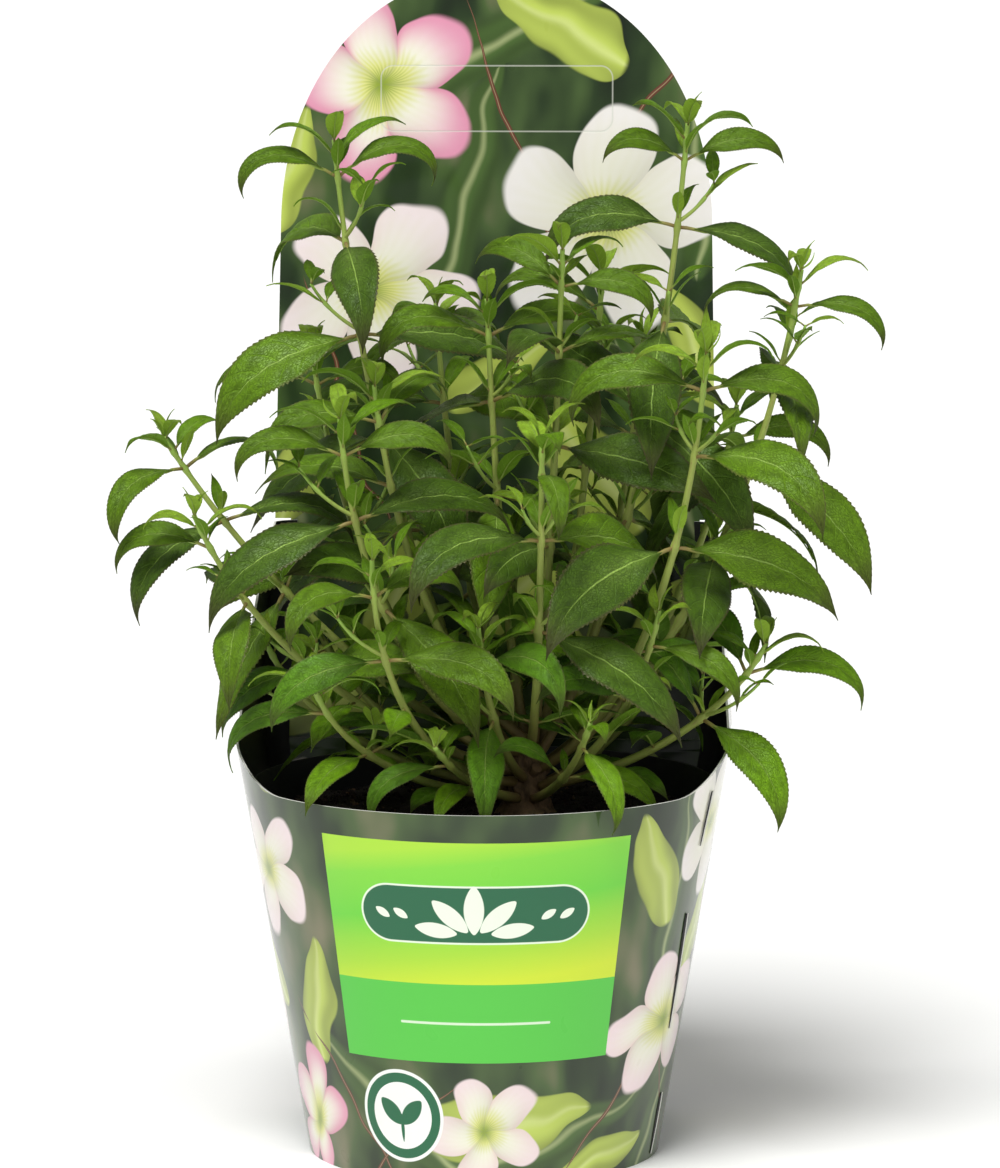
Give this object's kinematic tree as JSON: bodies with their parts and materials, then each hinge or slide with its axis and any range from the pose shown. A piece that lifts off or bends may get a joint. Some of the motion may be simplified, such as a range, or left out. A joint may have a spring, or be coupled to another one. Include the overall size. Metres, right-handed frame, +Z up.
{
  "type": "potted weigela shrub in a printed board sleeve",
  "caption": "Young leafy flowering shrub, not in bloom, in a black nursery pot dressed in a tapered board sleeve with a tall arch-topped back card.",
  "frame": {"origin": "centre of the pot's flat underside", "axes": "+Z up the plant, -Y the front of the sleeve, +Y the back card, +X to the right seen from the front"},
  "size_m": [0.3146, 0.2334, 0.466],
  "materials": {
    "pot": "matt black moulded",
    "soil": "dark crumbly growing mix",
    "sleeve": "glossy printed board",
    "wood": "thin brown bark",
    "stem": "green young bark",
    "leaves": "satin leaves"
  },
  "bodies": {
    "root": {"pot": "pot", "soil": "soil", "sleeve_wrap": "sleeve", "back_card": "sleeve", "stool": "wood", "limb_tall_right": "stem", "limb_right_high": "stem", "limb_right_mid": "stem", "limb_front": "stem", "limb_left_low": "stem", "limb_left_mid": "stem", "limb_top_left": "stem", "limb_left_upper": "stem", "limb_centre_left": "stem", "limb_centre": "stem", "limb_centre_right": "stem", "limb_far_left": "stem", "limb_far_left_low": "stem", "limb_right_edge": "stem", "limb_back_left": "stem", "limb_back_mid": "stem", "limb_back_right": "stem", "foliage_tall_right": "leaves", "foliage_right_high": "leaves", "foliage_right_mid": "leaves", "foliage_front": "leaves", "foliage_left_low": "leaves", "foliage_left_mid": "leaves", "foliage_top_left": "leaves", "foliage_left_upper": "leaves", "foliage_centre_left": "leaves", "foliage_centre": "leaves", "foliage_centre_right": "leaves", "foliage_far_left": "leaves", "foliage_far_left_low": "leaves", "foliage_right_edge": "leaves", "foliage_back_left": "leaves", "foliage_back_mid": "leaves", "foliage_back_right": "leaves", "foliage_low_right": "leaves", "foliage_right_back": "leaves", "foliage_low_back": "leaves", "foliage_low_left": "leaves", "foliage_left_front": "leaves", "foliage_low_left_back": "leaves", "foliage_low_centre": "leaves", "foliage_low_front": "leaves", "foliage_low_front_right": "leaves", "foliage_right_low": "leaves"}
  },
  "joints": []
}
